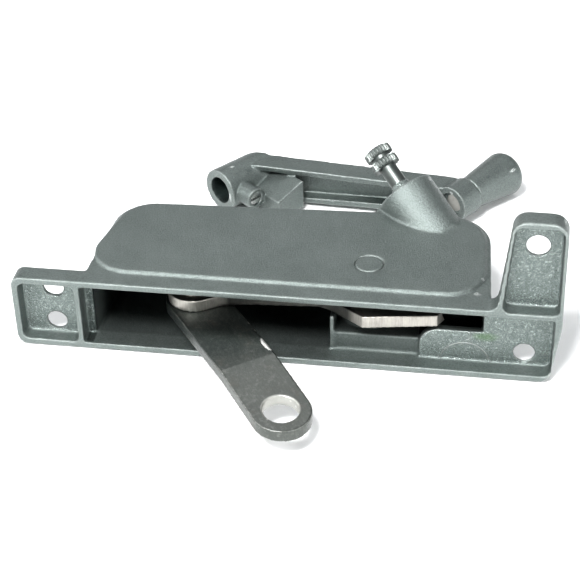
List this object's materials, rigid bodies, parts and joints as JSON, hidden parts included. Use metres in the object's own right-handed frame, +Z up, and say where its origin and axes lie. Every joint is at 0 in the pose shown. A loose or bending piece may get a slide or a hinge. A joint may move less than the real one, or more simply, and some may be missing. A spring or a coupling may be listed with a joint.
{
  "type": "window crank operator",
  "caption": "Crank-driven window operator: flanged cast body, worm drive, swinging arm and link, with its crank handle lying loose behind.",
  "frame": {"origin": "middle of the flange's lower front edge, on the mounting face", "axes": "+X along the flange to the end with the upright tab, +Y from the mounting face back into the body, +Z up through the body's top pad"},
  "size_m": [0.1703, 0.162, 0.0571],
  "materials": {
    "painted_casting": "satin silver-grey paint on a zinc die casting",
    "pin_head": "painted over with the casting",
    "plated_steel": "bright plated steel, turned and knurled",
    "bronze": "sintered bronze, oiled",
    "bearing_steel": "ground steel",
    "bare_steel": "sheared mild steel plate, lightly oiled",
    "dark_steel": "stamped steel with a dark oiled skin"
  },
  "bodies": {
    "housing": {"housing": "painted_casting", "pivot_pin": "pin_head", "pivot_washer_lower": "bearing_steel", "pivot_washer_upper": "bearing_steel", "shaft_bush": "painted_casting", "thrust_washer": "bronze", "thrust_ball": "bearing_steel"},
    "worm": {"worm_shaft": "plated_steel"},
    "arm": {"drive_arm": "bare_steel", "arm_bush": "bronze", "link_rivet": "bare_steel", "rivet_washer": "bearing_steel"},
    "link": {"link_arm": "dark_steel"},
    "crank": {"crank_handle": "painted_casting", "crank_set_screw": "plated_steel", "knob_rivet": "bare_steel", "knob_washer": "bearing_steel"},
    "knob": {"knob": "painted_casting"}
  },
  "joints": [
    {"name": "arm_swing", "type": "hinge", "parent": "housing", "child": "arm", "pos_m": [0.02495, 0.01975, 0.017], "axis": [0, 0, 1], "range_deg": [-8, 58]},
    {"name": "worm_spin", "type": "hinge", "parent": "housing", "child": "worm", "pos_m": [0.04686, 0.04349, 0.017], "axis": [-0.6164, 0.5688, 0.5446], "range_deg": [-2160, 360]},
    {"name": "link_swing", "type": "hinge", "parent": "arm", "child": "link", "pos_m": [-0.02917, 0.01118, 0.013], "axis": [0, 0, 1], "range_deg": [-60, 5]},
    {"name": "crank_lift", "type": "slide", "parent": "housing", "child": "crank", "axis": [0, 0, 1], "range_m": [0, 0.08]},
    {"name": "knob_spin", "type": "hinge", "parent": "crank", "child": "knob", "pos_m": [0.05055, 0.0938, 0.0079], "axis": [0.5948, 0.8039, 0], "continuous": true}
  ],
  "couplings": [
    {"joint": "worm_spin", "follows": "arm_swing", "ratio": -36}
  ]
}
